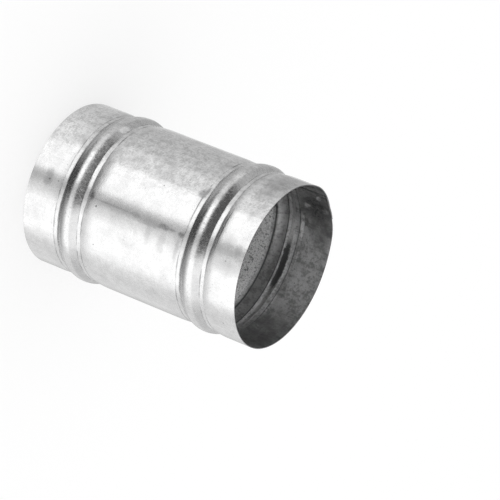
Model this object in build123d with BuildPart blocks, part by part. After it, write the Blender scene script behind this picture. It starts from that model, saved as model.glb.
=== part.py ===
"""Duct connector: one sheet of thin galvanised steel rolled into a round tube, lapped and spot welded along
its length, with a collar at each end and a rolled bead behind each collar. Millimetres, +Z up: the tube
stands on one open end, centred on the Z axis, with its seam towards +Y."""
import os
from math import acos, asin, atan2, cos, degrees, radians, sin

from build123d import *

# Driving dimensions of the tube
outer_radius = 49.75
tube_length = 150.0
sheet_thickness = 0.5

# Lap seam: one end of the sheet is set in by a soft joggle, which ends a little way under the other end's
# edge, lies under that end and is pressed into it
seam_azimuth = 90.0
lap_width = 20.0
lap_pressed_in = 0.1
joggle_radius = 10.0
joggle_tuck = 0.5

# Beads: how far each crest stands from its end of the tube, and the form of the roll
bead_inset = 31.5
bead_height = 1.65
bead_half_width = 6.9
bead_foot_radius = 1.2

# Grooves that the bead rolls press into the tube on both sides of each bead
groove_depth = 0.6
groove_floor = 2.7
shoulder_width = 3.3
crease_radius = 0.8

# Spot welds: two staggered rows of round dents, on both faces of the lap
weld_pitch = 12.5
weld_row_spacing = 11.5
weld_end_distance = 3.0
weld_stagger = 5.0
dent_diameter = 4.5
dent_depth = 0.15
dent_to_groove = 2.5


def sum_of_radii(run, rise):
    """Radius, in all, of two smoothly joined arcs of equal angle that step from a line to a parallel one."""
    return (run**2 + rise**2) / (2 * rise)


def triangle_angle(side, other_side, opposite):
    """Angle between two sides of a triangle, in degrees."""
    return degrees(acos((side**2 + other_side**2 - opposite**2) / (2 * side * other_side)))


# Lengths and radii along the tube
bead_reach = bead_half_width + groove_floor + shoulder_width
bead_rise = bead_height + groove_depth
collar_length = bead_inset - bead_reach
middle_length = tube_length - 2 * (bead_inset + bead_reach)
crest_radius = sum_of_radii(bead_half_width, bead_rise) - bead_foot_radius
shoulder_radius = sum_of_radii(shoulder_width, groove_depth) - crease_radius

# Angles and centres round the tube. The inner layer of the lap is rolled to the wall's own radius, about a
# centre that is set back from the tube's axis by the layer step. The joggle's two arcs are centred inside and
# outside the wall
layer_step = sheet_thickness - lap_pressed_in
lap_angle = degrees(lap_width / outer_radius)
lap_start = seam_azimuth - lap_angle / 2
joggle_end = lap_start + degrees(joggle_tuck / outer_radius)
layer_centre = Vector(-layer_step, 0).rotate(Axis.Z, seam_azimuth)
outward_centre = layer_centre + Vector(outer_radius + joggle_radius, 0).rotate(Axis.Z, joggle_end)
to_outward_centre = outward_centre.length
to_inward_centre = outer_radius - joggle_radius
between_centres = triangle_angle(to_inward_centre, to_outward_centre, 2 * joggle_radius)
joggle_start = degrees(atan2(outward_centre.Y, outward_centre.X)) - between_centres
joggle_angle = joggle_end - joggle_start
inward_turn = 180 - triangle_angle(to_inward_centre, 2 * joggle_radius, to_outward_centre)
outward_turn = inward_turn - joggle_angle
round_turn = 360 + joggle_start - lap_start
inner_turn = lap_start + lap_angle - joggle_end


def step(start, run, rise, first_radius, second_radius):
    """Draws a smooth step of two arcs upwards along the tube, outwards where rise is positive."""
    turn = degrees(asin(run / (first_radius + second_radius)))
    if rise > 0:
        turn = -turn
    first = JernArc(start, (0, 1), first_radius, turn)
    second = JernArc(first @ 1, first % 1, second_radius, -turn)
    return second @ 1


def run_straight(start, length):
    """Draws a straight stretch upwards along the tube."""
    return Line(start, start + Vector(0, length)) @ 1


def bead(start):
    """Draws a bead with the groove on each side of it, from the end of one straight stretch to the next."""
    floor_start = step(start, shoulder_width, -groove_depth, shoulder_radius, crease_radius)
    foot = run_straight(floor_start, groove_floor)
    crest = step(foot, bead_half_width, bead_rise, bead_foot_radius, crest_radius)
    far_foot = step(crest, bead_half_width, -bead_rise, crest_radius, bead_foot_radius)
    floor_end = run_straight(far_foot, groove_floor)
    return step(floor_end, shoulder_width, groove_depth, crease_radius, shoulder_radius)


def weld_depths(first):
    """Depths of one row of welds below the upper rim, without those that would fall on a bead or a groove."""
    depths = []
    depth = first
    while depth < tube_length - weld_end_distance:
        to_bead = min(abs(depth - bead_inset), abs(tube_length - depth - bead_inset))
        if to_bead > bead_reach + dent_to_groove:
            depths.append(depth)
        depth += weld_pitch
    return depths


def around(azimuth, radius, height):
    """A point at this distance from the Z axis."""
    return (radius * cos(radians(azimuth)), radius * sin(radians(azimuth)), height)


# The sheet cut along the tube, with the outside of its collars on the sketch's Y axis
with BuildSketch() as sheet_section:
    with BuildLine():
        lower_bead_start = run_straight(Vector(0, 0), collar_length)
        middle_start = bead(lower_bead_start)
        upper_bead_start = run_straight(middle_start, middle_length)
        upper_collar_start = bead(upper_bead_start)
        run_straight(upper_collar_start, collar_length)
        offset(amount=sheet_thickness, side=Side.LEFT)
    make_face()

with BuildPart() as connector_tube:
    # Outside of the sheet seen from above: round the tube from the outer layer's edge, in at the joggle, and
    # on under the outer layer
    with BuildLine() as rolled:
        round_wall = CenterArc((0, 0), outer_radius, lap_start, round_turn)
        inward = JernArc(round_wall @ 1, round_wall % 1, joggle_radius, inward_turn)
        outward = JernArc(inward @ 1, inward % 1, joggle_radius, -outward_turn)
        inner_layer = JernArc(outward @ 1, outward % 1, outer_radius, inner_turn)

    turns = [
        (round_wall, round_turn),
        (inward, inward_turn),
        (outward, -outward_turn),
        (inner_layer, inner_turn),
    ]
    for arc, turn in turns:
        with BuildSketch(Plane(origin=arc @ 0, x_dir=(arc % 0).rotate(Axis.Z, -90), z_dir=-(arc % 0))):
            add(sheet_section.sketch)
        revolve(axis=Axis(arc.arc_center, (0, 0, 1)), revolution_arc=turn)

    # Weld dents, pressed in from outside and from inside
    dent_radius = (dent_diameter**2 / 4 + dent_depth**2) / (2 * dent_depth)
    row_angle = degrees(weld_row_spacing / 2 / outer_radius)
    weld_rows = [
        (seam_azimuth - row_angle, weld_end_distance),
        (seam_azimuth + row_angle, weld_end_distance + weld_stagger),
    ]
    outer_dent_centre = outer_radius - dent_depth + dent_radius
    inner_dent_centre = outer_radius - layer_step - sheet_thickness + dent_depth - dent_radius
    for azimuth, first_depth in weld_rows:
        for depth in weld_depths(first_depth):
            height = tube_length - depth
            outer_centre = around(azimuth, outer_dent_centre, height)
            inner_centre = around(azimuth, inner_dent_centre, height)
            with Locations(outer_centre, inner_centre):
                Sphere(dent_radius, mode=Mode.SUBTRACT)

connector_tube.part.label = "connector_tube"
os.makedirs("parts", exist_ok=True)
export_step(connector_tube.part, "parts/connector_tube.step")
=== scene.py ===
"""Duct connector: a rolled tube of thin galvanised sheet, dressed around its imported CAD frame."""
from functools import partial
from math import acos, asin, atan2, cos, pi, radians, sin
from types import SimpleNamespace

import bpy
from mathutils import Matrix, Vector


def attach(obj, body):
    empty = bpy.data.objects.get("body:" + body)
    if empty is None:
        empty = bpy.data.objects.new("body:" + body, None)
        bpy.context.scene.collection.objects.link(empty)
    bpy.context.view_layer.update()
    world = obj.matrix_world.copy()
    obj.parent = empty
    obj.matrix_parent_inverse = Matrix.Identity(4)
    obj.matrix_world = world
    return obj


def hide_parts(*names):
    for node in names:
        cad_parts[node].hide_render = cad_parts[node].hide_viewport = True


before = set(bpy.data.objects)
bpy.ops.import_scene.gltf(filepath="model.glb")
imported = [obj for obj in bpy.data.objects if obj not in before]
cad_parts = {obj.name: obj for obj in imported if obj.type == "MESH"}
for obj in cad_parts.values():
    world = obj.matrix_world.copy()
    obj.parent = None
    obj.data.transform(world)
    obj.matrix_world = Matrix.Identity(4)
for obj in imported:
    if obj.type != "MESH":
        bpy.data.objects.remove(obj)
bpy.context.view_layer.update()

bl_info = {
    "name": "Duct connector",
    "version": (1, 0, 0),
    "blender": (4, 5, 0),
    "location": "3D View > Sidebar > Duct connector",
    "description": "Makes a beaded, spot-welded connector tube of galvanised sheet and a plain stage",
    "category": "Add Mesh",
}

MM = 0.001
BODY = "root"
NODE = "connector_tube"
WHITE = (1, 1, 1, 1)


# Sizes and colours

def linear(hex_colour):
    """An sRGB colour such as "#C0FFEE" as linear RGB."""
    parts = [int(hex_colour[i:i + 2], 16) / 255 for i in (1, 3, 5)]
    return tuple(c / 12.92 if c <= 0.04045 else ((c + 0.055) / 1.055) ** 2.4 for c in parts)


def length_property(name, description, default_mm):
    return bpy.props.FloatProperty(
        name=name, description=description, default=default_mm * MM, unit="LENGTH")


def colour_property(name, description, hex_colour):
    return bpy.props.FloatVectorProperty(
        name=name, description=description, default=linear(hex_colour), subtype="COLOR", size=3, min=0, max=1)


class ConnectorSizes(bpy.types.PropertyGroup):
    """Sizes of the rolled sheet."""
    outer_radius: length_property("Outer radius", "Radius of the collars outside", 49.75)
    tube_length: length_property("Tube length", "Length from end to end", 150)
    sheet_thickness: length_property("Sheet thickness", "Gauge of the sheet", 0.5)
    lap_width: length_property("Lap width", "How far the sheet's ends lie over each other", 20)
    lap_gap: length_property("Lap gap", "Air between the two layers of the lap", 0.02)
    joggle_radius: length_property("Joggle radius", "Bend radius where the inner layer steps in", 40)
    joggle_tuck: length_property("Joggle tuck", "How far under the outer edge the joggle ends", 0.5)
    bead_inset: length_property("Bead inset", "From the end of the tube to the crest of its bead", 31.5)
    bead_height: length_property("Bead height", "Crest of the bead above the collar", 1.65)
    bead_half_width: length_property("Bead half width", "From the crest to the foot of the bead", 6.9)
    bead_foot_radius: length_property("Bead foot radius", "Bend at the foot of the bead", 1.2)
    groove_depth: length_property("Groove depth", "Depth of the grooves beside the bead", 0.6)
    groove_floor: length_property("Groove floor", "Flat width of a groove", 2.7)
    collar_shoulder: length_property("Collar shoulder", "From a groove's floor to the straight collar", 6.2)
    middle_shoulder: length_property("Middle shoulder", "From a groove's floor to the middle wall", 8.5)
    crease_radius: length_property("Crease radius", "Bend at the edge of the groove's floor", 0.8)
    edge_break: length_property("Edge break", "Burr and rounding of the sheared rims", 0.08)
    weld_pitch: length_property("Weld pitch", "Between spot welds of one row", 12.5)
    weld_row_spacing: length_property("Weld row spacing", "Between the two rows of spot welds", 11.5)
    first_weld: length_property("First weld", "From the upper rim to the first spot weld", 3)
    weld_stagger: length_property("Weld stagger", "How much lower the second row starts", 5)
    weld_clearance: length_property("Weld clearance", "From a bead's crest to the nearest spot weld", 15.4)
    dent_diameter: length_property("Weld dent diameter", "Width of an electrode's dent", 4.5)
    dent_depth: length_property("Weld dent depth", "Depth of an electrode's dent", 0.15)
    seam_rise: length_property("Seam out of round", "How far the wall stands out beside the lap", 0.75)
    waviness: length_property("Waviness", "Unevenness of the thin wall", 0.05)
    seed: bpy.props.IntProperty(name="Seed", description="Seed of the unevenness", default=4)


class ConnectorFinish(bpy.types.PropertyGroup):
    """Colours of the sheet and the stage."""
    zinc: colour_property("Zinc", "Clean zinc", "#DDDDDD")
    dull_zinc: colour_property("Dull zinc", "Zinc that has dulled in clouds", "#C0C0C1")
    grime: colour_property("Grime", "Rolling dirt and smudges", "#69696A")
    cut_steel: colour_property("Cut steel", "Sheared edge of the sheet", "#5A5A5B")
    floor: colour_property("Floor", "Paper that the tube stands on", "#F7F7F7")


# Outline of the sheet

class Track:
    """A line of points, drawn one straight stretch or arc at a time, with its heading at each point."""

    def __init__(self, start, heading):
        self.points = [start]
        self.headings = [heading]

    def straight(self, length, count):
        start, heading = self.points[-1], self.headings[-1]
        along = Vector((cos(heading), sin(heading)))
        self.points += [start + along * length * i / count for i in range(1, count + 1)]
        self.headings += [heading] * count

    def arc(self, radius, turn, count):
        """An arc that turns left where turn is positive."""
        start, heading = self.points[-1], self.headings[-1]
        signed = radius if turn > 0 else -radius
        centre = start + signed * Vector((-sin(heading), cos(heading)))
        for i in range(1, count + 1):
            angle = heading + turn * i / count
            self.points.append(centre + signed * Vector((sin(angle), -cos(angle))))
            self.headings.append(angle)


def sum_of_radii(run, rise):
    """Both radii together of two smoothly joined arcs of equal angle that step to a parallel line."""
    return (run**2 + rise**2) / (2 * rise)


# How finely the sheet's outline is divided: between points on its straight stretches and round its layers at
# the lap, round the rest of the tube, and on each of its bends. The fine stretch of the outer layer goes on
# past the lap, by this share of it
STRAIGHT_SPACING = 0.9 * MM
LAP_SPACING = 0.75 * MM
PAST_LAP = 0.15
ROUND_SPACING = radians(2.4)
FLOOR_POINTS = 3
CREASE_POINTS = 3
FOOT_POINTS = 4
SHOULDER_POINTS = 6
CREST_POINTS = 7
JOGGLE_POINTS = 4

SEAM_AZIMUTH = radians(90)


def wall_profile(s):
    """The outside of the sheet cut along the tube, from the lower rim up: x is outwards from the collar."""
    bead_rise = s.bead_height + s.groove_depth
    bead_radii = sum_of_radii(s.bead_half_width, bead_rise)
    bead_turn = asin(s.bead_half_width / bead_radii)
    crest_radius = bead_radii - s.bead_foot_radius
    reach = s.bead_half_width + s.groove_floor
    collar = s.bead_inset - reach - s.collar_shoulder
    middle = s.tube_length - 2 * (s.bead_inset + reach + s.middle_shoulder)
    track = Track(Vector((0, 0)), pi / 2)

    def run(length):
        track.straight(length, round(length / STRAIGHT_SPACING))

    def shoulder(width, inwards):
        radii = sum_of_radii(width, s.groove_depth)
        turn = asin(width / radii)
        arcs = [(radii - s.crease_radius, turn, SHOULDER_POINTS), (s.crease_radius, -turn, CREASE_POINTS)]
        for arc in arcs if inwards else arcs[::-1]:
            track.arc(*arc)

    def bead(first_shoulder, second_shoulder):
        shoulder(first_shoulder, inwards=True)
        track.straight(s.groove_floor, FLOOR_POINTS)
        track.arc(s.bead_foot_radius, -bead_turn, FOOT_POINTS)
        track.arc(crest_radius, bead_turn, CREST_POINTS)
        track.arc(crest_radius, bead_turn, CREST_POINTS)
        track.arc(s.bead_foot_radius, -bead_turn, FOOT_POINTS)
        track.straight(s.groove_floor, FLOOR_POINTS)
        shoulder(second_shoulder, inwards=False)

    run(collar)
    bead(s.collar_shoulder, s.middle_shoulder)
    run(middle)
    bead(s.middle_shoulder, s.collar_shoulder)
    run(collar)
    return track


def sheet_section(s):
    """The closed section of the sheet: up its outside and down its inside, with the rims' edges broken."""
    track = wall_profile(s)
    outside = list(track.points)
    inside = [
        point + s.sheet_thickness * Vector((-sin(heading), cos(heading)))
        for point, heading in zip(track.points, track.headings)
    ]
    for face, inward in ((outside, -s.edge_break), (inside, s.edge_break)):
        low, high = face[0], face[-1]
        face[0] = low + Vector((0, s.edge_break))
        face[-1] = high - Vector((0, s.edge_break))
        face.insert(0, low + Vector((inward, 0)))
        face.append(high + Vector((inward, 0)))
    # Curve to Mesh points the section's Y downwards here
    return [Vector((point.x, -point.y)) for point in outside + inside[::-1]]


def rolled_path(s):
    """The outside of the rolled sheet seen from above: the outer layer of the lap, once round the tube, in at
    the joggle and on under the outer layer, about a centre that is set back by one layer."""
    layer_step = s.sheet_thickness + s.lap_gap
    lap_angle = s.lap_width / s.outer_radius
    lap_start = SEAM_AZIMUTH - lap_angle / 2
    joggle_end = lap_start + s.joggle_tuck / s.outer_radius
    layer_centre = -layer_step * Vector((cos(SEAM_AZIMUTH), sin(SEAM_AZIMUTH)))
    reach = s.outer_radius + s.joggle_radius
    outward_centre = layer_centre + reach * Vector((cos(joggle_end), sin(joggle_end)))

    # Triangle of the tube's axis and the centres of the joggle's two arcs
    far = outward_centre.length
    near = s.outer_radius - s.joggle_radius
    between = 2 * s.joggle_radius
    at_axis = acos((near**2 + far**2 - between**2) / (2 * near * far))
    at_inward = acos((near**2 + between**2 - far**2) / (2 * near * between))
    joggle_start = atan2(outward_centre.y, outward_centre.x) - at_axis
    inward_turn = pi - at_inward
    outward_turn = inward_turn - (joggle_end - joggle_start)

    start = s.outer_radius * Vector((cos(lap_start), sin(lap_start)))
    track = Track(start, lap_start + pi / 2)
    fine_turn = lap_angle * (1 + PAST_LAP)
    rest = 2 * pi + joggle_start - lap_start - fine_turn
    inner_turn = lap_start + lap_angle - joggle_end
    track.arc(s.outer_radius, fine_turn, round(fine_turn * s.outer_radius / LAP_SPACING))
    track.arc(s.outer_radius, rest, round(rest / ROUND_SPACING))
    track.arc(s.joggle_radius, inward_turn, JOGGLE_POINTS)
    track.arc(s.joggle_radius, -outward_turn, JOGGLE_POINTS)
    track.arc(s.outer_radius, inner_turn, round(inner_turn * s.outer_radius / LAP_SPACING))
    return track.points


def new_object(name, data):
    made = bpy.data.objects.new(name, data)
    bpy.context.scene.collection.objects.link(made)
    return made


def poly_curve(name, points, cyclic):
    """A curve object of straight runs through these flat points."""
    data = bpy.data.curves.new(name, "CURVE")
    data.dimensions = "3D"
    spline = data.splines.new("POLY")
    spline.points.add(len(points) - 1)
    for slot, point in zip(spline.points, points):
        slot.co = (point[0], point[1], 0, 1)
    spline.use_cyclic_u = cyclic
    return new_object(name, data)


# Nodes

MATH = "ShaderNodeMath"
VECTOR_MATH = "ShaderNodeVectorMath"
MAP_RANGE = "ShaderNodeMapRange"
MIX = "ShaderNodeMix"
COMBINE = "ShaderNodeCombineXYZ"
SEPARATE = "ShaderNodeSeparateXYZ"
NOISE = "ShaderNodeTexNoise"
SMOOTH = {"interpolation_type": "SMOOTHSTEP"}
NUMBERS = {"data_type": "FLOAT", "output": "Result"}
COLOURS = {"data_type": "RGBA", "output": "Result"}


def add_node(tree, kind, *values, inputs=None, output=0, **settings):
    """Adds a node, sets its properties, and sets or links its inputs: first ones in order, others by name.
    Returns the output of this number or name, or the node itself where output is None."""
    new = tree.nodes.new(kind)
    for name, value in settings.items():
        setattr(new, name, value)
    for key, value in (*enumerate(values), *(inputs or {}).items()):
        if isinstance(value, bpy.types.NodeSocket):
            tree.links.new(value, new.inputs[key])
        else:
            new.inputs[key].default_value = value
    return new if output is None else new.outputs[output]


def apart(tree, value, other):
    """How far apart two values are."""
    node = partial(add_node, tree)
    return node(MATH, node(MATH, value, other, operation="SUBTRACT"), operation="ABSOLUTE")


def faded(tree, amount, value, fade):
    """An amount, times what this fade makes of the value."""
    node = partial(add_node, tree)
    return node(MATH, amount, node(MAP_RANGE, value, *fade, **SMOOTH), operation="MULTIPLY")


def empty_tree(owner):
    """The node tree of a new material or world, with nothing in it."""
    owner.use_nodes = True
    owner.node_tree.nodes.clear()
    return owner.node_tree


# Rolled sheet, in Geometry Nodes

SHEET_INPUTS = ("outer_radius", "tube_length", "bead_inset", "weld_pitch", "weld_row_spacing",
                "first_weld", "weld_stagger", "weld_clearance", "dent_diameter", "dent_depth",
                "seam_rise", "waviness", "seed")

# How far the wall stands out of round beside the seam, up to this angle from it: 0.5 is round, 1 is out by
# the seam's rise, 0 is in by it. The first number goes from 0 at that angle to 1 at the seam. Half way along
# the tube it is only this share of what it is at the rims
SEAM_SHAPE_SPAN = radians(60)
SEAM_SHAPE = ((0.0, 0.5), (0.3, 0.5), (0.42, 0.62), (0.52, 0.86),
              (0.62, 1.0), (0.72, 0.93), (0.84, 0.7), (1.0, 0.26))
SEAM_SHAPE_AT_MIDDLE = 0.55

# The wall's waves are about 22 mm wide round the tube, and longer along it
WAVES_PER_METRE = 45
WAVE_SQUEEZE_ALONG = 0.6
WAVE_DETAIL = 1.5
WAVE_RADIUS = 50 * MM

# A weld's mark fades between these distances from its middle, as shares of the dent's radius
WELD_MARK_EDGE = (0.7, 1.7)
SHARPEST_SMOOTH_EDGE = radians(38)

# The inside of the sheet lies this far from its outside where the patterns are drawn, so they differ
INSIDE_OFFSET = 0.25


def label_of(size_name):
    return ConnectorSizes.bl_rna.properties[size_name].name


def swept_sheet(tree, path, section_object):
    """Sweeps the section along the path. Returns the mesh, how far along the path each point is, and 1 for
    a point on the inside of the sheet, which the second half of the section's points are."""
    node = partial(add_node, tree)
    on_path = node("GeometryNodeCaptureAttribute", output=None)
    on_path.capture_items.new("FLOAT", "along")
    tree.links.new(path, on_path.inputs["Geometry"])
    tree.links.new(node("GeometryNodeSplineParameter", output="Length"), on_path.inputs["along"])
    upright = node("GeometryNodeSetCurveNormal", on_path.outputs[0], mode="Z_UP")
    section = node("GeometryNodeObjectInfo", inputs={"Object": section_object}, output="Geometry")
    count = node("GeometryNodeAttributeDomainSize", section, component="CURVE", output="Point Count")
    last_outside = node(MATH, count, 0.5, -0.5, operation="MULTIPLY_ADD")
    is_inside = node(MATH, node("GeometryNodeInputIndex"), last_outside, operation="GREATER_THAN")
    on_section = node("GeometryNodeCaptureAttribute", output=None)
    on_section.capture_items.new("FLOAT", "inside")
    tree.links.new(section, on_section.inputs["Geometry"])
    tree.links.new(is_inside, on_section.inputs["inside"])
    mesh = node("GeometryNodeCurveToMesh",
                inputs={"Curve": upright, "Profile Curve": on_section.outputs[0], "Fill Caps": True})
    mesh = node("GeometryNodeFlipFaces", mesh)
    return mesh, on_path.outputs["along"], on_section.outputs["inside"]


def to_nearest_weld(tree, size, half_length, flat_place):
    """Distance from each point to the nearest weld, on the wall rolled out flat. Two staggered rows start
    below the upper rim, without the welds that would fall on a bead or a groove."""
    node = partial(add_node, tree)
    half_spacing = node(MATH, size["weld_row_spacing"], 0.5, operation="MULTIPLY")
    minus_half_spacing = node(MATH, half_spacing, -1.0, operation="MULTIPLY")
    second_first_weld = node(MATH, size["first_weld"], size["weld_stagger"], operation="ADD")
    downwards = node(MATH, size["weld_pitch"], -1.0, operation="MULTIPLY")
    rows = node("GeometryNodeJoinGeometry", output=None)
    for row_x, first in ((half_spacing, size["first_weld"]), (minus_half_spacing, second_first_weld)):
        top = node(MATH, size["tube_length"], first, operation="SUBTRACT")
        run = node(MATH, top, size["first_weld"], operation="SUBTRACT")
        gaps = node(MATH, node(MATH, run, size["weld_pitch"], operation="DIVIDE"), operation="FLOOR")
        row = node("GeometryNodeMeshLine", mode="OFFSET",
                   inputs={"Count": node(MATH, gaps, 1.0, operation="ADD"),
                           "Start Location": node(COMBINE, row_x, top),
                           "Offset": node(COMBINE, 0.0, downwards)})
        tree.links.new(row, rows.inputs[0])
    weld_height = node(SEPARATE, node("GeometryNodeInputPosition"), output="Y")
    weld_from_middle = apart(tree, weld_height, half_length)
    bead_from_middle = node(MATH, half_length, size["bead_inset"], operation="SUBTRACT")
    to_bead = apart(tree, weld_from_middle, bead_from_middle)
    on_bead = node(MATH, to_bead, size["weld_clearance"], operation="LESS_THAN")
    welds = node("GeometryNodeDeleteGeometry", rows.outputs[0], on_bead, domain="POINT")
    return node("GeometryNodeProximity", inputs={"Geometry": welds, "Sample Position": flat_place},
                target_element="POINTS", output="Distance")


def seam_form(tree, size, half_length, from_middle, from_seam):
    """How far the wall stands out of round beside the seam, less so between the beads."""
    node = partial(add_node, tree)
    share = node(MATH, node(MATH, from_seam, operation="ABSOLUTE"), SEAM_SHAPE_SPAN, operation="DIVIDE")
    towards_seam = node(MATH, 1.0, share, operation="SUBTRACT", use_clamp=True)
    shape = node("ShaderNodeFloatCurve", inputs={"Value": towards_seam}, output=None)
    curve = shape.mapping.curves[0]
    curve.points[0].location = SEAM_SHAPE[0]
    curve.points[-1].location = SEAM_SHAPE[-1]
    for place in SEAM_SHAPE[1:-1]:
        curve.points.new(*place)
    shape.mapping.update()
    out = node(MATH, shape.outputs[0], 2.0, -1.0, operation="MULTIPLY_ADD")
    near_rim = node(MAP_RANGE, from_middle, 0.0, half_length, SEAM_SHAPE_AT_MIDDLE, 1.0, **SMOOTH)
    rise = node(MATH, near_rim, size["seam_rise"], operation="MULTIPLY")
    return node(MATH, out, rise, operation="MULTIPLY")


def wall_waves(tree, size, radial, z):
    """How far the thin wall waves inwards from its measured outline."""
    node = partial(add_node, tree)
    round_tube = node(VECTOR_MATH, radial, inputs={"Scale": WAVE_RADIUS}, operation="SCALE")
    up_tube = node(COMBINE, 0.0, 0.0, node(MATH, z, WAVE_SQUEEZE_ALONG, operation="MULTIPLY"))
    place = node(VECTOR_MATH, round_tube, up_tube, operation="ADD")
    wave = node(NOISE, noise_dimensions="4D",
                inputs={"Vector": place, "W": size["seed"], "Scale": WAVES_PER_METRE, "Detail": WAVE_DETAIL})
    inwards = node(MATH, wave, 2.0, -2.0, operation="MULTIPLY_ADD")
    return node(MATH, inwards, size["waviness"], operation="MULTIPLY")


def rolled_sheet_tree():
    """Sweeps the section along the rolled path, presses in the weld dents and makes the wall uneven."""
    tree = bpy.data.node_groups.new("Rolled sheet", "GeometryNodeTree")
    node = partial(add_node, tree)
    tree.interface.new_socket("Geometry", in_out="OUTPUT", socket_type="NodeSocketGeometry")
    inputs = {"Geometry": "Geometry", "Section": "Object", "Material": "Material"}
    inputs.update({label_of(name): "Int" if name == "seed" else "Float" for name in SHEET_INPUTS})
    for name, kind in inputs.items():
        tree.interface.new_socket(name, in_out="INPUT", socket_type=f"NodeSocket{kind}")
    given = node("NodeGroupInput", output=None)
    size = {name: given.outputs[label_of(name)] for name in SHEET_INPUTS}
    swept, along, inside = swept_sheet(tree, given.outputs["Geometry"], given.outputs["Section"])

    # Where each point lies
    xyz = node(SEPARATE, node("GeometryNodeInputPosition"), output=None)
    x, y, z = (xyz.outputs[i] for i in range(3))
    radial = node(VECTOR_MATH, node(COMBINE, x, y), operation="NORMALIZE")
    from_seam = node(MATH, x, y, operation="ARCTAN2")
    flat_place = node(COMBINE, node(MATH, from_seam, size["outer_radius"], operation="MULTIPLY"), z)
    half_length = node(MATH, size["tube_length"], 0.5, operation="MULTIPLY")
    from_middle = apart(tree, z, half_length)

    # Weld dents: inwards on the outer layer's outside, which is in the path's first half, and outwards on
    # the inner layer's inside
    to_weld = to_nearest_weld(tree, size, half_length, flat_place)
    dent_radius = node(MATH, size["dent_diameter"], 0.5, operation="MULTIPLY")
    nearness = node(MATH, to_weld, dent_radius, operation="DIVIDE")
    bowl = node(MATH, 1.0, node(MATH, nearness, 2.0, operation="POWER"), operation="SUBTRACT")
    bowl = node(MATH, bowl, 0.0, operation="MAXIMUM")
    half_way = node(MATH, size["outer_radius"], pi, operation="MULTIPLY")
    first_half = node(MATH, along, half_way, operation="LESS_THAN")
    second_half = node(MATH, 1.0, first_half, operation="SUBTRACT")
    outside = node(MATH, 1.0, inside, operation="SUBTRACT")
    pressed_in = node(MATH, first_half, outside, operation="MULTIPLY")
    pressed_out = node(MATH, second_half, inside, operation="MULTIPLY")
    press = node(MATH, pressed_out, pressed_in, operation="SUBTRACT")
    press = node(MATH, press, size["dent_depth"], operation="MULTIPLY")

    # Shape of the wall
    outwards = seam_form(tree, size, half_length, from_middle, from_seam)
    outwards = node(MATH, outwards, wall_waves(tree, size, radial, z), operation="ADD")
    outwards = node(MATH, bowl, press, outwards, operation="MULTIPLY_ADD")
    shift = node(VECTOR_MATH, radial, inputs={"Scale": outwards}, operation="SCALE")
    sheet = node("GeometryNodeSetPosition", inputs={"Geometry": swept, "Offset": shift})

    # What the material reads: the place on the flat sheet, and how near a weld is
    far_face = node(MATH, inside, INSIDE_OFFSET, operation="MULTIPLY")
    dented = node(MATH, pressed_in, pressed_out, operation="MAXIMUM")
    weld_mark = node(MAP_RANGE, nearness, *WELD_MARK_EDGE, 1.0, 0.0, **SMOOTH)
    weld_mark = node(MATH, weld_mark, dented, operation="MULTIPLY")
    for name, kind, value in (("sheet_place", "FLOAT_VECTOR", node(COMBINE, along, z, far_face)),
                              ("weld_mark", "FLOAT", weld_mark)):
        sheet = node("GeometryNodeStoreNamedAttribute", data_type=kind, domain="POINT",
                     inputs={"Geometry": sheet, "Name": name, "Value": value})

    # Smooth faces with sharp sheared edges
    edge_angle = node("GeometryNodeInputMeshEdgeAngle", output="Unsigned Angle")
    soft_edge = node(MATH, edge_angle, SHARPEST_SMOOTH_EDGE, operation="LESS_THAN")
    for domain, smooth in (("FACE", True), ("EDGE", soft_edge)):
        sheet = node("GeometryNodeSetShadeSmooth", domain=domain,
                     inputs={"Geometry": sheet, "Shade Smooth": smooth})
    sheet = node("GeometryNodeRealizeInstances", sheet)
    sheet = node("GeometryNodeSetMaterial",
                 inputs={"Geometry": sheet, "Material": given.outputs["Material"]})
    node("NodeGroupOutput", sheet, output=None)
    return tree


def plain_mesh(carrier, name):
    """The evaluated result of an object's modifiers as a plain mesh object at the origin."""
    graph = bpy.context.evaluated_depsgraph_get()
    graph.update()
    mesh = bpy.data.meshes.new_from_object(
        carrier.evaluated_get(graph), preserve_all_data_layers=True, depsgraph=graph)
    mesh.name = name
    return new_object(name, mesh)


def drop_curve(curve):
    data = curve.data
    bpy.data.objects.remove(curve)
    bpy.data.curves.remove(data)


# Galvanised sheet

# Patterns in the zinc and the unevenness under it: the size of a feature in millimetres, detail, roughness,
# seed, and how much longer features are round the tube, along it and through the sheet. Skin-passed zinc has
# grains of under 0.5 mm, and the streaks and lines of the rolls are 0.1 mm apart. They are drawn about three
# to eleven times as coarse, to show at all
PATTERNS = {
    "cloud": (14, 4.0, 0.6, 0, (1, 1, 1)),
    "patch": (4.5, 4.0, 0.65, 2, (1, 1, 1)),
    "grain": (1.3, 3.0, 0.6, 3, (1, 1, 1)),
    "streak": (1.1, 3.0, 0.6, 5, (1, 30, 1)),
    "line": (0.9, 2.0, 0.5, 7, (30, 1, 1)),
    "gap": (6, 4.0, 0.7, 17, (2, 0.4, 1)),
    "ragged": (3, 4.0, 0.7, 11, (1, 1, 1)),
    "ruffle": (7, 3.0, 0.6, 13, (1, 1, 1)),
}
PATTERN_AVERAGE = (0.5, 0.5, 0.5)
MOTTLE = (("patch", 0.5), ("grain", 0.35), ("streak", 0.1), ("line", 0.05))

# A fade, here and below, is given by the two values that it goes between, and how much there is before and
# after it. With only the two values, it goes from nothing to all. These three are how dark and how light the
# mottle makes clean zinc, handled zinc and the inside
CLEAN_TINT = (0.4, 0.6, 0.88, 1.08)
HANDLED_TINT = (0.4, 0.6, 0.72, 1.2)
INSIDE_TINT = (0.41, 0.59, 0.54, 1.27)

# The side that has been handled: where its middle is, and how far from there it begins and is fully handled
HANDLED_AZIMUTH = radians(152)
HANDLED_FROM = radians(52)
HANDLED_FULLY = radians(22)

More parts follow.
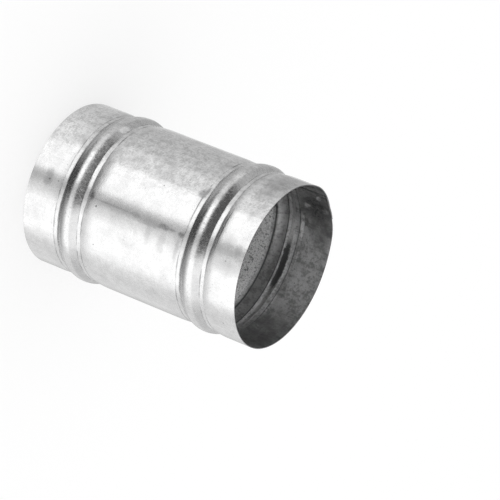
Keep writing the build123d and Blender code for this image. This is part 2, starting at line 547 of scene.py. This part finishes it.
# Clouds of dull zinc, and how dull they are
DULL_CLOUDS = (0.42, 0.62)
DULL_SHARE = 0.35

# Painted shade in the creases: how gaps break it, its half width, how far from the crease it has faded out
# and how much further where no gap breaks it, and its strength
CREASE_GAPS = (0.38, 0.62, 0.15, 1.0)
CREASE_HALF_WIDTH = 0.1 * MM
CREASE_FADED = 0.18 * MM
CREASE_FADED_FURTHER = 0.6 * MM
CREASE_STRENGTH = 0.75

# Painted shade on the beads' flanks, by the distance from the crest, in patches
FLANK_FROM_CREST = (1.6 * MM, 3.2 * MM)
FLANK_TO_FOOT = (6.6 * MM, 7.2 * MM, 0.32, 0.0)
FLANK_PATCHES = (0.35, 0.6, 0.5, 1.0)

# Scuffs beside the beads, by the distance from the crest, and in clouds. They are in some of the grains
SCUFFS_BESIDE_BEAD = (10 * MM, 18 * MM, 0.7, 0.0)
SCUFFED_CLOUDS = (0.5, 0.66)
SCUFF_GRAINS = (0.5, 0.68, 0.0, 0.45)

# Painted shade inside: lines past the foot of the bead, at its crest and at the groove's far crease, by the
# distance from each, and the hollow, by the distance from the crest, which is negative towards the middle of
# the tube
LINE_PAST_FOOT = 0.3 * MM
LINE_AT_FOOT = (0.3 * MM, 1.0 * MM, 0.95, 0.0)
LINE_AT_CREST = (0.15 * MM, 0.7 * MM, 0.9, 0.0)
LINE_AT_CREASE = (0.1 * MM, 0.6 * MM, 0.7, 0.0)
HOLLOW_FROM_FOOT = (-7.0 * MM, -6.2 * MM)
HOLLOW_TO_CREST = (-0.4 * MM, 0.2 * MM, 0.45, 0.0)

# Flecks of dirt: the width of the cells, the share of them that hold none, a fleck's edge as a share of the
# cell's width, and its strength
FLECK_SPACING = 7 * MM
CELLS_WITH_NONE = 0.84
FLECK_EDGE = (0.03, 0.09, 1.0, 0.0)
FLECK_STRENGTH = 0.7

# Bright zinc: smears at the welds, in patches; painted light on the zinc deep inside, by the distance from
# the crest, with its level as tint times the first number plus the second, and what grey grains take off it;
# the level of rubbed zinc for a tint of 1; and the lightest that it gets
SMEAR_PATCHES = (0.4, 0.62, 0.15, 0.7)
DEEP_INSIDE = (-11 * MM, -7 * MM, 1.0, 0.0)
DEEP_LEVEL = (0.8, 0.4)
GREY_GRAINS = (0.35, 0.58, 0.36, 0.0)
RUBBED_ZINC = 0.92
LIGHTEST_ZINC = 0.97

# Dark specks inside: the patterns that place them, how dark they are, and how they thin out at the beads
SPECK_PATTERNS = (("grain", 0.6), ("patch", 0.4))
SPECKS = (0.51, 0.6, 0.0, 0.75)
SPECKS_TO_BEAD = (-10 * MM, -6 * MM, 1.0, 0.3)

# Steel in the sheared rim, by the distance from it
CUT_STEEL = (0.04 * MM, 0.14 * MM, 0.8, 0.0)

# Where the rolls have worked the zinc rough: by the distance from a bead's crest, in some grains
WORKED_BEAD = (6 * MM, 8 * MM, 1.0, 0.0)
WORKED_GRAINS = (0.45, 0.62)

# Roughness of the cleanest zinc, and what each finish adds to it
CLEAN_ROUGHNESS = 0.15
ADDED_ROUGHNESS = {"dull": 0.05, "grain": 0.06, "dirt_and_shade": 0.12, "rubbed_and_highlit": 0.12, "inner": 0.14, "hollow": 0.4,
                   "worked": 0.09}

# Height of the unevenness in millimetres
UNEVENNESS = (("ruffle", 0.022), ("grain", 0.034), ("streak", 0.001), ("line", 0.001))

# Smudges, rubbed places, painted shade and painted highlights: azimuth in degrees, height, half width round
# the tube and along it (mm), how much darker the mark makes the zinc (negative is lighter), and which face
# of the sheet (0 outside, 1 inside)
MARKS = (
    # Lower collar
    (214, 12, 6, 3, 0.4, 0),
    (215, 13, 0.9, 0.9, 0.9, 0),
    # Grey smear between the beads
    (216.5, 78, 3.0, 37, 0.26, 0),
    (216.1, 60, 0.9, 17, 0.5, 0),
    (216.3, 74, 1.6, 6, 0.5, 0),
    (217.2, 86, 2.8, 9, 0.4, 0),
    (216.5, 95, 2.0, 5, 0.68, 0),
    (216.6, 101, 0.9, 3, 0.6, 0),
    # Beside the beads and between them
    (215, 43.6, 3.2, 1.7, 0.9, 0),
    (217.2, 107, 1.9, 2.4, 0.72, 0),
    (228, 106.5, 9, 1.5, 0.3, 0),
    (225, 86, 6, 2.5, 0.2, 0),
    (227, 96, 7, 3, 0.22, 0),
    (186, 108, 3.4, 3.2, 0.65, 0),
    (184, 109.5, 4.5, 0.9, 0.6, 0),
    (176, 107.5, 4, 1.7, -0.9, 0),
    # Rubbed places on the beads
    (195, 35.9, 22, 3.0, -0.95, 0),
    (160, 36, 4, 2.4, -0.9, 0),
    (163, 119.5, 2.6, 1.8, -0.7, 0),
    # Single specks
    (220.5, 48.3, 0.6, 0.6, 0.95, 0),
    (269.7, 140.7, 0.5, 0.5, 0.95, 0),
    # Upper collar and the crease below it
    (213.5, 145, 4, 3, 0.3, 0),
    (216, 138, 2.6, 7, 0.12, 0),
    (209, 138, 5, 5, 0.16, 0),
    # A painted shadow line in the crease below the upper collar
    (203, 130.4, 15, 0.5, 1.0, 0),
    (130, 130, 13, 20, 0.3, 0),
    (138, 142, 34, 10, 0.4, 0),
    (227, 141, 5, 9, 0.22, 0),
    # Lower collar, rubbed
    (150, 8, 36, 11, -0.55, 0),
    # Inside, in the upper bead's hollow: painted shade, with painted highlights beside it
    (32, 122.4, 17, 3.5, 1.8, 1),
    (30, 119.6, 14, 0.7, -1.0, 1),
    (28, 126, 13, 0.9, -1.0, 1),
    (58, 124.5, 9, 3.2, -0.7, 1),
    # Inside, on the upper collar
    (85, 140, 15, 13, 0.95, 1),
    (66, 142, 12, 9, 0.6, 1),
    (328, 138, 36, 17, 0.7, 1),
    # Inside, painted shadow along the edge of the lap
    (102, 125, 0.7, 30, 1.0, 1),
    # Inside, painted highlights in lines and a spot
    (63, 129.8, 11, 1.1, -1.2, 1),
    (84, 147.3, 2.1, 1.4, -0.7, 1),
    (41, 130.5, 6, 0.6, -0.9, 1),
    (4, 128.8, 9, 0.6, -0.8, 1),
)
# Azimuth of the cut between the two ends of the wall rolled out flat. The wide marks at 130, 138 and 150
# degrees reach across it and end there
MARKS_CUT = 130
# A mark's edge is ragged by up to its smaller half width, or by this much (mm) if that is less. It has faded
# out where its distance in half widths, squared, is this. Its dirt and painted shade are thinner in some
# grains
MOST_RAGGED = 3
MARK_EDGE = 1.4
SMUDGE_AND_SHADE_GRAINS = (0.3, 0.65, 0.6, 1.1)


def places_on_sheet(tree, sizes):
    """Where each point lies: its place on the flat sheet, how near a weld it is, on which face of the sheet,
    how far from the rim, and how far from the nearest bead's crest. Past the bead is towards the rim."""
    node = partial(add_node, tree)
    flat = node("ShaderNodeAttribute", attribute_name="sheet_place", output="Vector")
    weld = node("ShaderNodeAttribute", attribute_name="weld_mark", output="Fac")
    xyz = node(SEPARATE, flat, output=None)
    inner = node(MATH, xyz.outputs[2], INSIDE_OFFSET / 2, operation="GREATER_THAN")
    outer = node(MATH, 1.0, inner, operation="SUBTRACT")
    half_length = sizes.tube_length / 2
    from_middle = apart(tree, xyz.outputs[1], half_length)
    to_rim = node(MATH, half_length, from_middle, operation="SUBTRACT")
    past_bead = node(MATH, from_middle, half_length - sizes.bead_inset, operation="SUBTRACT")
    to_bead = node(MATH, past_bead, operation="ABSOLUTE")
    return SimpleNamespace(flat=flat, weld=weld, inner=inner, outer=outer, to_rim=to_rim,
                           past_bead=past_bead, to_bead=to_bead)


def zinc_patterns(tree, flat):
    """The patterns by name, as values that are about 0.5 on average. The ragged one is a colour, because it
    pushes the edges of the marks both round the tube and along it."""
    node = partial(add_node, tree)
    patterns = {}
    for name, (size_mm, detail, roughness, seed, longer) in PATTERNS.items():
        scale = [1 / (size_mm * MM * k) for k in longer]
        scaled = node(VECTOR_MATH, flat, scale, operation="MULTIPLY")
        patterns[name] = node(NOISE, noise_dimensions="4D", output=1 if name == "ragged" else 0,
                              inputs={"Vector": scaled, "W": seed, "Scale": 1.0, "Detail": detail,
                                      "Roughness": roughness})
    return patterns


def weighted_sum(tree, patterns, weights):
    node = partial(add_node, tree)
    total = 0.0
    for name, weight in weights:
        total = node(MATH, patterns[name], weight, total, operation="MULTIPLY_ADD")
    return total


def zinc_tint(tree, sizes, patterns, inner):
    """How dark or light the mottle makes the zinc: a little where nothing has touched it, more on the side
    that has been handled, and most inside, where nothing has polished it."""
    node = partial(add_node, tree)
    mottle = weighted_sum(tree, patterns, MOTTLE)
    clean, by_hand, inside = (
        node(MAP_RANGE, mottle, *tint, **SMOOTH) for tint in (CLEAN_TINT, HANDLED_TINT, INSIDE_TINT))
    towards = (cos(HANDLED_AZIMUTH) / sizes.outer_radius, sin(HANDLED_AZIMUTH) / sizes.outer_radius, 0)
    position = node("ShaderNodeTexCoord", output="Object")
    facing = node(VECTOR_MATH, position, towards, operation="DOT_PRODUCT", output="Value")
    handled = node(MAP_RANGE, facing, cos(HANDLED_FROM), cos(HANDLED_FULLY), **SMOOTH)
    outside = node(MIX, inputs={"Factor": handled, "A": clean, "B": by_hand}, **NUMBERS)
    return node(MIX, inputs={"Factor": inner, "A": outside, "B": inside}, **NUMBERS)


def clean_and_dull(tree, finish, patterns, tint):
    """The zinc's own colour, with its dull clouds. Returns the colour and how dull it is."""
    node = partial(add_node, tree)
    clouds = node(MATH, patterns["cloud"], patterns["patch"], operation="ADD")
    clouds = node(MATH, clouds, 0.5, operation="MULTIPLY")
    dull = node(MAP_RANGE, clouds, *DULL_CLOUDS, **SMOOTH)
    share = node(MATH, dull, DULL_SHARE, operation="MULTIPLY")
    zinc = node(MIX, inputs={"Factor": share, "A": (*finish.zinc, 1), "B": (*finish.dull_zinc, 1)}, **COLOURS)
    return node(VECTOR_MATH, zinc, inputs={"Scale": tint}, operation="SCALE"), dull


def crease_shade(tree, sizes, patterns, to_bead):
    """Painted shade in the creases at both edges of each groove's floor, broken by clean gaps."""
    node = partial(add_node, tree)
    creases = (sizes.bead_half_width, sizes.bead_half_width + sizes.groove_floor)
    to_crease = node(MATH, *(apart(tree, to_bead, crease) for crease in creases), operation="MINIMUM")
    broken = node(MAP_RANGE, patterns["gap"], *CREASE_GAPS, **SMOOTH)
    end = node(MATH, broken, CREASE_FADED_FURTHER, CREASE_FADED, operation="MULTIPLY_ADD")
    dirt = node(MAP_RANGE, to_crease, CREASE_HALF_WIDTH, end, CREASE_STRENGTH, 0.0, **SMOOTH)
    return node(MATH, dirt, broken, operation="MULTIPLY")


def flank_shade_and_scuffs(tree, patterns, to_bead):
    """A little painted shade on the beads' flanks, and scuffs beside the beads and in some clouds."""
    node = partial(add_node, tree)
    # Painted shade on the flanks, between the crest and the foot
    from_crest = node(MAP_RANGE, to_bead, *FLANK_FROM_CREST, **SMOOTH)
    flank = faded(tree, from_crest, to_bead, FLANK_TO_FOOT)
    flank = faded(tree, flank, patterns["patch"], FLANK_PATCHES)
    beside_bead = node(MAP_RANGE, to_bead, *SCUFFS_BESIDE_BEAD, **SMOOTH)
    in_cloud = node(MAP_RANGE, patterns["cloud"], *SCUFFED_CLOUDS, **SMOOTH)
    scuffed = node(MATH, in_cloud, beside_bead, operation="MAXIMUM")
    scuffs = faded(tree, scuffed, patterns["grain"], SCUFF_GRAINS)
    return node(MATH, flank, scuffs, operation="MAXIMUM")


def inside_shade(tree, sizes, past_bead):
    """Painted shade inside, in the half of each bead's hollow towards the middle of the tube and in lines at
    its crest and its edges. Returns the lines and the hollow."""
    node = partial(add_node, tree)
    past_foot = -sizes.bead_half_width - LINE_PAST_FOOT
    crease = sizes.bead_half_width + sizes.groove_floor
    lines = 0.0
    for at, fade in ((past_foot, LINE_AT_FOOT), (0.0, LINE_AT_CREST), (crease, LINE_AT_CREASE)):
        line = node(MAP_RANGE, apart(tree, past_bead, at), *fade, **SMOOTH)
        lines = node(MATH, lines, line, operation="MAXIMUM")
    from_foot = node(MAP_RANGE, past_bead, *HOLLOW_FROM_FOOT, **SMOOTH)
    return lines, faded(tree, from_foot, past_bead, HOLLOW_TO_CREST)


def marks_share(tree, sizes, patterns, where):
    """How far the marks dull the zinc and paint shade on it, and how far they rub it bright and paint
    highlights on it, from where each lies on the tube.
    """
    node = partial(add_node, tree)
    position = node("ShaderNodeTexCoord", output="Object")
    front = radians(MARKS_CUT + 180)
    sides = [node(VECTOR_MATH, position, axis, operation="DOT_PRODUCT", output="Value")
             for axis in ((-sin(front), cos(front), 0), (cos(front), sin(front), 0))]
    round_tube = node(MATH, *sides, operation="ARCTAN2")
    round_tube = node(MATH, round_tube, sizes.outer_radius, operation="MULTIPLY")
    on_wall = node(COMBINE, round_tube, node(SEPARATE, position, output="Z"))
    ragged = node(VECTOR_MATH, patterns["ragged"], PATTERN_AVERAGE, operation="SUBTRACT")
    dulled_and_shaded, brightened = 0.0, 0.0
    for azimuth, height, half_round, half_along, strength, is_inside in MARKS:
        centre = radians((azimuth - MARKS_CUT) % 360 - 180) * sizes.outer_radius
        loose = min(half_round, half_along, MOST_RAGGED) * 2 * MM
        away = node(VECTOR_MATH, on_wall, (centre, height * MM, 0), operation="SUBTRACT")
        away = node(VECTOR_MATH, ragged, (loose, loose, 0), away, operation="MULTIPLY_ADD")
        away = node(VECTOR_MATH, away, (half_round * MM, half_along * MM, 1), operation="DIVIDE")
        far = node(VECTOR_MATH, away, away, operation="DOT_PRODUCT", output="Value")
        share = node(MAP_RANGE, far, 0.0, MARK_EDGE, abs(strength), 0.0, **SMOOTH)
        share = node(MATH, share, where.inner if is_inside else where.outer, operation="MULTIPLY")
        if strength > 0:
            dulled_and_shaded = node(MATH, dulled_and_shaded, share, operation="MAXIMUM")
        else:
            brightened = node(MATH, brightened, share, operation="MAXIMUM")
    return dulled_and_shaded, brightened


def flecks(tree, flat):
    """A few small flecks of dirt, in some cells of a Voronoi pattern."""
    node = partial(add_node, tree)
    cell = node("ShaderNodeTexVoronoi", inputs={"Vector": flat, "Scale": 1 / FLECK_SPACING}, output=None)
    luck = node("ShaderNodeSeparateColor", cell.outputs["Color"])
    fleck = node(MAP_RANGE, cell.outputs["Distance"], *FLECK_EDGE, **SMOOTH)
    has_one = node(MATH, luck, CELLS_WITH_NONE, operation="GREATER_THAN")
    return node(MATH, fleck, has_one, operation="MULTIPLY")


def dirt_and_painted_shade(tree, sizes, patterns, where, smudges_and_shade):
    """Flecks, scuffs and smudge marks, with painted shade on the beads' flanks, in the creases, inside and in
    some marks. Returns it all together, and the painted shade in the beads' hollows.
    """
    node = partial(add_node, tree)
    creases = crease_shade(tree, sizes, patterns, where.to_bead)
    creases = node(MATH, creases, where.outer, operation="MULTIPLY")
    lines, hollow = (node(MATH, dirt, where.inner, operation="MULTIPLY")
                     for dirt in inside_shade(tree, sizes, where.past_bead))
    smudges_and_shade = faded(tree, smudges_and_shade, patterns["grain"], SMUDGE_AND_SHADE_GRAINS)
    dirt_and_shade = node(MATH, flecks(tree, where.flat), FLECK_STRENGTH, operation="MULTIPLY")
    # Over the flecks go the painted shade on the flanks, in the creases and inside, and the marks with their
    # painted shade
    for dirt in (flank_shade_and_scuffs(tree, patterns, where.to_bead), creases, lines, hollow, smudges_and_shade):
        dirt_and_shade = node(MATH, dirt_and_shade, dirt, operation="MAXIMUM")
    return dirt_and_shade, hollow


def bright_zinc(tree, patterns, where, tint, brightened):
    """Zinc made bright by rubbing or smeared by the welding electrodes, with painted highlights inside, and
    painted light on the zinc in the middle of the inside. Returns how much there is, its colour, and how far
    it is made bright by rubbing, smearing and painted highlights."""
    node = partial(add_node, tree)
    smear = faded(tree, where.weld, patterns["patch"], SMEAR_PATCHES)
    # The rubbed places include painted highlights inside
    rubbed_and_highlit = node(MATH, brightened, smear, operation="MAXIMUM")
    # Painted light on the zinc deep inside, in the middle of the tube
    deep = faded(tree, where.inner, where.past_bead, DEEP_INSIDE)
    bright = node(MATH, rubbed_and_highlit, deep, operation="MAXIMUM")
    grey_grains = node(MAP_RANGE, patterns["grain"], *GREY_GRAINS, **SMOOTH)
    deep_level = node(MATH, tint, *DEEP_LEVEL, operation="MULTIPLY_ADD")
    deep_level = node(MATH, deep_level, grey_grains, operation="SUBTRACT")
    deep_level = node(MATH, deep_level, deep, operation="MULTIPLY")
    rubbed_level = node(MATH, tint, RUBBED_ZINC, operation="MULTIPLY")
    level = node(MATH, deep_level, rubbed_level, operation="MAXIMUM")
    level = node(MATH, level, LIGHTEST_ZINC, operation="MINIMUM")
    return bright, node(COMBINE, level, level, level), rubbed_and_highlit


def specks_inside(tree, patterns, where):
    """Dark specks inside, most of them in the middle."""
    specks = faded(tree, where.inner, weighted_sum(tree, patterns, SPECK_PATTERNS), SPECKS)
    return faded(tree, specks, where.past_bead, SPECKS_TO_BEAD)


def worked_beads(tree, patterns, where):
    """Where the rolls have worked the beads rough, in spots."""
    on_bead = faded(tree, where.outer, where.to_bead, WORKED_BEAD)
    return faded(tree, on_bead, patterns["grain"], WORKED_GRAINS)


def galvanised_material(sizes, finish):
    """Hot-dipped, skin-passed steel sheet. The zinc gives soft bright reflections, mottled by its own grain.
    Skin-passing leaves fine streaks along the tube, the bead rolls leave fine lines round it, and handling
    leaves cloudy dull patches. Shade is painted in the creases, on the beads' flanks and inside, highlights
    are painted inside, and light is painted on the zinc deep inside. Inside, where nothing has polished it,
    it is duller."""
    material = bpy.data.materials.new("Galvanised steel, hot-dipped and skin-passed")
    tree = empty_tree(material)
    node = partial(add_node, tree)
    where = places_on_sheet(tree, sizes)
    patterns = zinc_patterns(tree, where.flat)
    tint = zinc_tint(tree, sizes, patterns, where.inner)
    smudges_and_shade, brightened = marks_share(tree, sizes, patterns, where)
    colour, dull = clean_and_dull(tree, finish, patterns, tint)
    dirt_and_shade, hollow = dirt_and_painted_shade(tree, sizes, patterns, where, smudges_and_shade)
    bright, bright_colour, rubbed_and_highlit = bright_zinc(tree, patterns, where, tint, brightened)
    specks = specks_inside(tree, patterns, where)
    cut = node(MAP_RANGE, where.to_rim, *CUT_STEEL, **SMOOTH)
    grime, cut_steel = (*finish.grime, 1), (*finish.cut_steel, 1)
    # Over the zinc go dirt with painted shade, bright zinc with painted highlights and painted light, specks
    # and cut steel
    for share, over in ((dirt_and_shade, grime), (bright, bright_colour), (specks, grime), (cut, cut_steel)):
        colour = node(MIX, inputs={"Factor": share, "A": colour, "B": over}, **COLOURS)

    finishes = {"dull": dull, "grain": patterns["grain"], "dirt_and_shade": dirt_and_shade, "rubbed_and_highlit": rubbed_and_highlit,
                "inner": where.inner, "hollow": hollow, "worked": worked_beads(tree, patterns, where)}
    roughness = CLEAN_ROUGHNESS
    for name, added in ADDED_ROUGHNESS.items():
        roughness = node(MATH, finishes[name], added, roughness, operation="MULTIPLY_ADD")
    height = weighted_sum(tree, patterns, UNEVENNESS)
    normal = node("ShaderNodeBump", inputs={"Strength": 1.0, "Distance": MM, "Height": height})
    shader = node("ShaderNodeBsdfPrincipled",
                  inputs={"Base Color": colour, "Metallic": 1.0, "Roughness": roughness, "Normal": normal})
    node("ShaderNodeOutputMaterial", shader, output=None)
    return material


class CONNECTOR_OT_rolled_sheet(bpy.types.Operator):
    """Makes the rolled, beaded and spot-welded sheet"""
    bl_idname = "connector.rolled_sheet"
    bl_label = "Rolled sheet"

    def execute(self, context):
        sizes = context.scene.connector_sizes
        path = poly_curve("rolled_path", rolled_path(sizes), cyclic=False)
        section = poly_curve("sheet_section", sheet_section(sizes), cyclic=True)
        tree = rolled_sheet_tree()
        modifier = path.modifiers.new("Rolled sheet", "NODES")
        modifier.node_group = tree
        sockets = {item.name: item.identifier for item in tree.interface.items_tree if item.in_out == "INPUT"}
        modifier[sockets["Section"]] = section
        modifier[sockets["Material"]] = galvanised_material(sizes, context.scene.connector_finish)
        for name in SHEET_INPUTS:
            modifier[sockets[label_of(name)]] = getattr(sizes, name)
        piece = plain_mesh(path, "rolled_sheet")
        if len(piece.data.polygons) == 0:
            raise RuntimeError("The rolled sheet came out empty")
        path.modifiers.clear()
        drop_curve(path)
        drop_curve(section)
        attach(piece, BODY)
        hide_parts(NODE)
        return {"FINISHED"}


# Stage

# The photograph's view. Lens and sensor are in millimetres, places and reach in metres
CAMERA_PLACE = Vector((-1.37857, -0.85671, 0.98407))
CAMERA_AIM = Vector((-0.00098, 0.00157, 0.12535))
CAMERA_ROLL = radians(111.764)
CAMERA_LENS = 230.23
CAMERA_SENSOR = 36
CAMERA_REACH = 50

FLOOR_HALF_WIDTH = 6.0
FLOOR_WHITENESS = 0.65
SOFTBOX_SIZE = 1.6
SOFTBOX_POWER = 6.0
SOFTBOX_PLACE = (0.2, -0.5, 2.4)
SOFTBOX_TILT = radians(12)

# The studio that the metal mirrors: its plain level, and soft panels and dark gaps over it. Azimuth, half
# width, softness, lowest and highest elevation, softness there (degrees), and level. A panel that goes all
# round has no sides, and one that reaches straight down or up has no edge there
STUDIO_LEVEL = 0.64
PANELS = (
    (324, 42, 12, -90, 90, 0, 0.91),
    (37, 8, 9, -90, 90, 0, 0.87),
    (138, 30, 8, -90, 90, 0, 0.75),
    (146, 12, 5, -90, -12, 8, 1.0),
    (268, 43, 11, -90, 90, 0, 1.06),
    (270, 27, 9, -36, 90, 4, 1.55),
    (186, 23, 4, -36, 90, 4, 1.58),
    (220, 3, 6, -90, 90, 0, 0.66),
    (187, 50, 8, -8, 90, 6, 0.14),
    (205, 38, 10, -90, -43, 5, 0.08),
    (150, 18, 8, -90, -43, 6, 0.32),
    (283, 42, 12, -90, -50, 14, 0.52),
    (0, 180, 0, -90, -74, 8, 0.11),
)


def world_light():
    """The studio as the metal mirrors it, and plain white for all the rest."""
    world = bpy.data.worlds.new("Studio")
    tree = empty_tree(world)
    node = partial(add_node, tree)
    xyz = node(SEPARATE, node("ShaderNodeTexCoord", output="Generated"), output=None)
    x, y, up = (xyz.outputs[i] for i in range(3))
    level_way = node(VECTOR_MATH, node(COMBINE, x, y), operation="NORMALIZE")
    level = STUDIO_LEVEL
    for azimuth, half_width, soft, low, high, edge, strength in PANELS:
        towards = (cos(radians(azimuth)), sin(radians(azimuth)), 0)
        share = 1.0
        if half_width < 180:
            facing = node(VECTOR_MATH, level_way, towards, operation="DOT_PRODUCT", output="Value")
            edges = [cos(radians(max(half_width + side * soft, 0))) for side in (1, -1)]
            share = node(MAP_RANGE, facing, *edges, **SMOOTH)
        for limit, below, above in ((low, 0.0, 1.0), (high, 1.0, 0.0)):
            if abs(limit) < 90:
                edges = [sin(radians(limit + side * edge)) for side in (-1, 1)]
                within = node(MAP_RANGE, up, *edges, below, above, **SMOOTH)
                share = node(MATH, share, within, operation="MULTIPLY")
        level = node(MIX, inputs={"Factor": share, "A": level, "B": strength}, **NUMBERS)
    mirrored = node("ShaderNodeBackground", WHITE, level)
    plain = node("ShaderNodeBackground", WHITE, 1.0)
    is_mirrored = node("ShaderNodeLightPath", output="Is Glossy Ray")
    surface = node("ShaderNodeMixShader", is_mirrored, plain, mirrored)
    node("ShaderNodeOutputWorld", surface, output=None)
    bpy.context.scene.world = world


def paper_material(finish):
    """Matt white paper that takes a faint shadow of the tube. The metal mirrors the studio through it."""
    material = bpy.data.materials.new("Paper, matt white")
    tree = empty_tree(material)
    node = partial(add_node, tree)
    rays = node("ShaderNodeLightPath", output=None)
    paper = node("ShaderNodeBsdfDiffuse", (*finish.floor, 1))
    white = node("ShaderNodeEmission", WHITE, 1.0)
    clear = node("ShaderNodeBsdfTransparent", WHITE)
    whiteness = node(MATH, rays.outputs["Is Camera Ray"], FLOOR_WHITENESS, operation="MULTIPLY")
    seen = node("ShaderNodeMixShader", whiteness, paper, white)
    surface = node("ShaderNodeMixShader", rays.outputs["Is Glossy Ray"], seen, clear)
    node("ShaderNodeOutputMaterial", surface, output=None)
    return material


class CONNECTOR_OT_stage(bpy.types.Operator):
    """Makes the floor, the light and the camera"""
    bl_idname = "connector.stage"
    bl_label = "Stage"

    def execute(self, context):
        scene = context.scene
        half = FLOOR_HALF_WIDTH
        mesh = bpy.data.meshes.new("floor")
        corners = [(-half, -half, 0), (half, -half, 0), (half, half, 0), (-half, half, 0)]
        mesh.from_pydata(corners, [], [(0, 1, 2, 3)])
        mesh.materials.append(paper_material(scene.connector_finish))
        floor = new_object("floor", mesh)

        world_light()
        lamp_data = bpy.data.lights.new("softbox", "AREA")
        lamp_data.shape = "DISK"
        lamp_data.size = SOFTBOX_SIZE
        lamp_data.energy = SOFTBOX_POWER
        lamp = new_object("softbox", lamp_data)
        lamp.matrix_world = Matrix.Translation(SOFTBOX_PLACE) @ Matrix.Rotation(SOFTBOX_TILT, 4, "X")
        lamp.visible_glossy = False

        camera_data = bpy.data.cameras.new("camera")
        camera_data.lens = CAMERA_LENS
        camera_data.sensor_width = CAMERA_SENSOR
        camera_data.clip_end = CAMERA_REACH
        camera = new_object("camera", camera_data)
        level = (CAMERA_AIM - CAMERA_PLACE).to_track_quat("-Z", "Y").to_matrix().to_4x4()
        roll = Matrix.Rotation(CAMERA_ROLL, 4, "Z")
        camera.matrix_world = Matrix.Translation(CAMERA_PLACE) @ level @ roll
        scene.camera = camera
        scene.view_settings.view_transform = "Standard"
        return {"FINISHED"}


class CONNECTOR_PT_panel(bpy.types.Panel):
    """Lists what the add-on makes, and its sizes and colours"""
    bl_label = "Duct connector"
    bl_idname = "CONNECTOR_PT_panel"
    bl_space_type = "VIEW_3D"
    bl_region_type = "UI"
    bl_category = "Duct connector"

    def draw(self, context):
        for operator in OPERATORS:
            self.layout.operator(operator.bl_idname)
        for group in (context.scene.connector_sizes, context.scene.connector_finish):
            box = self.layout.box()
            for name in group.__annotations__:
                box.prop(group, name)


OPERATORS = (CONNECTOR_OT_rolled_sheet, CONNECTOR_OT_stage)
CLASSES = (ConnectorSizes, ConnectorFinish, *OPERATORS, CONNECTOR_PT_panel)


def register():
    for cls in CLASSES:
        bpy.utils.register_class(cls)
    bpy.types.Scene.connector_sizes = bpy.props.PointerProperty(type=ConnectorSizes)
    bpy.types.Scene.connector_finish = bpy.props.PointerProperty(type=ConnectorFinish)


def unregister():
    del bpy.types.Scene.connector_finish
    del bpy.types.Scene.connector_sizes
    for cls in reversed(CLASSES):
        bpy.utils.unregister_class(cls)


def main():
    register()
    bpy.ops.connector.rolled_sheet()
    bpy.ops.connector.stage()


if __name__ == "__main__":
    main()
